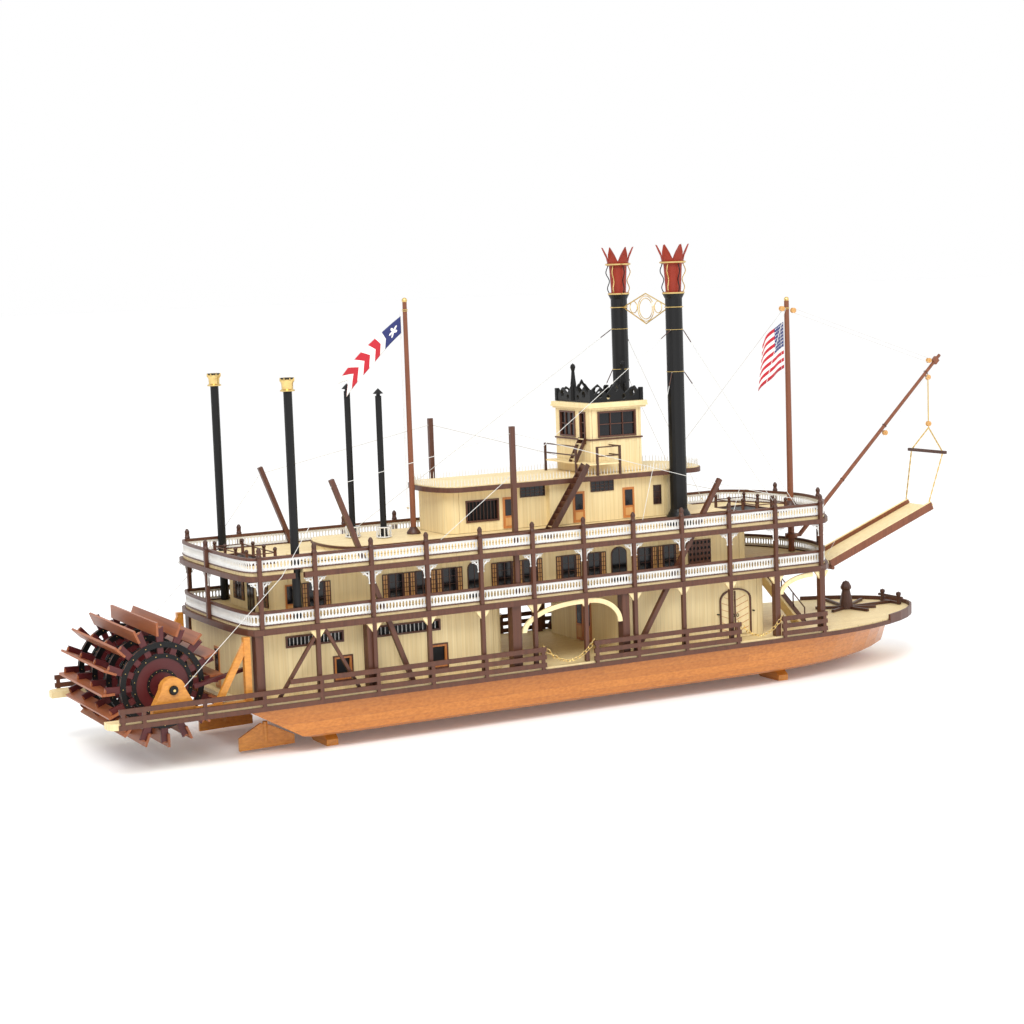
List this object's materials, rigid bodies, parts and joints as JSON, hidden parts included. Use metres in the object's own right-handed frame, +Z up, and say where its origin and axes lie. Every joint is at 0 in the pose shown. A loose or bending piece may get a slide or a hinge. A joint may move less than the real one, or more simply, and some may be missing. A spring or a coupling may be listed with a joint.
{
  "type": "sternwheel paddle boat display model",
  "caption": "Wooden display model of a sternwheel paddle boat on two low cradle blocks: open decks, twin chimneys, pilot house, swinging landing stage and a wheel that turns.",
  "frame": {"origin": "on the floor under the cradle, at the middle of the model's length and breadth", "axes": "+X to the bow, +Y to port, +Z up"},
  "size_m": [0.7731, 0.158, 0.3515],
  "materials": {
    "hull_wood": "varnished honey planks",
    "deck_wood": "pale planks with dark seams",
    "trim_wood": "red-brown, satin varnish",
    "dark_wood": "dark walnut, satin",
    "blade_wood": "reddish boards, open grain",
    "arm_red": "dark red, satin",
    "door_wood": "orange-brown, satin",
    "satin_black": "satin black",
    "white_metal": "off-white, satin",
    "brass": "bright, lightly worn",
    "flag_cloth": "thin dyed cotton"
  },
  "bodies": {
    "hull": {"aft_mast": "trim_wood", "boiler_balustrade": "white_metal", "boiler_deck": "deck_wood", "boiler_deck_frame": "trim_wood", "capstan_and_bitts": "dark_wood", "chimney_port": "satin_black", "chimney_starboard": "satin_black", "connecting_rod_port": "arm_red", "connecting_rod_starboard": "arm_red", "cradle_aft": "door_wood", "cradle_fore": "door_wood", "engine_house_aft_wall": "deck_wood", "engine_house_fore_wall": "deck_wood", "engine_house_port_wall": "deck_wood", "engine_house_starboard_wall": "deck_wood", "escape_pipe_port": "satin_black", "escape_pipe_starboard": "satin_black", "flag": "flag_cloth", "fore_house_aft_wall": "deck_wood", "fore_house_fore_wall": "deck_wood", "fore_house_port_wall": "deck_wood", "fore_house_starboard_wall": "deck_wood", "fore_mast": "trim_wood", "fore_stair": "deck_wood", "gallery_frame": "trim_wood", "guard": "trim_wood", "hull": "hull_wood", "hurricane_balustrade": "white_metal", "hurricane_deck": "deck_wood", "main_deck": "deck_wood", "pennant": "flag_cloth", "pilot_house_aft_wall": "deck_wood", "pilot_house_crown": "satin_black", "pilot_house_fore_wall": "deck_wood", "pilot_house_port_wall": "deck_wood", "pilot_house_roof": "deck_wood", "pilot_house_starboard_wall": "deck_wood", "saloon_aft_wall": "deck_wood", "saloon_fore_wall": "deck_wood", "saloon_port_wall": "deck_wood", "saloon_starboard_wall": "deck_wood", "steam_pipe_aft": "satin_black", "steam_pipe_fore": "satin_black", "texas_aft_wall": "deck_wood", "texas_fore_wall": "deck_wood", "texas_platform": "deck_wood", "texas_port_wall": "deck_wood", "texas_roof": "deck_wood", "texas_stair": "trim_wood", "texas_starboard_wall": "deck_wood", "wheel_support_port": "door_wood", "wheel_support_starboard": "door_wood"},
    "wheel": {"paddle_wheel": "blade_wood", "wheel_shaft": "satin_black"},
    "boom": {"boom": "trim_wood", "landing_stage": "trim_wood", "stage_sling": "brass"},
    "rudder_starboard": {"rudder_starboard": "hull_wood"},
    "rudder_port": {"rudder_port": "hull_wood"}
  },
  "joints": [
    {"name": "wheel_spin", "type": "hinge", "parent": "hull", "child": "wheel", "pos_m": [-0.33952, 0, 0.0583], "axis": [0, 1, 0], "continuous": true},
    {"name": "boom_swing", "type": "hinge", "parent": "hull", "child": "boom", "pos_m": [0.22685, 0, 0.108], "axis": [0, 0, 1], "range_deg": [-25, 25]},
    {"name": "rudder_starboard_turn", "type": "hinge", "parent": "hull", "child": "rudder_starboard", "pos_m": [-0.26252, -0.042, 0.012], "axis": [0, 0, 1], "range_deg": [-35, 35]},
    {"name": "rudder_port_turn", "type": "hinge", "parent": "hull", "child": "rudder_port", "pos_m": [-0.26252, 0.042, 0.012], "axis": [0, 0, 1], "range_deg": [-35, 35]}
  ],
  "couplings": [
    {"joint": "rudder_port_turn", "follows": "rudder_starboard_turn", "ratio": 1}
  ]
}
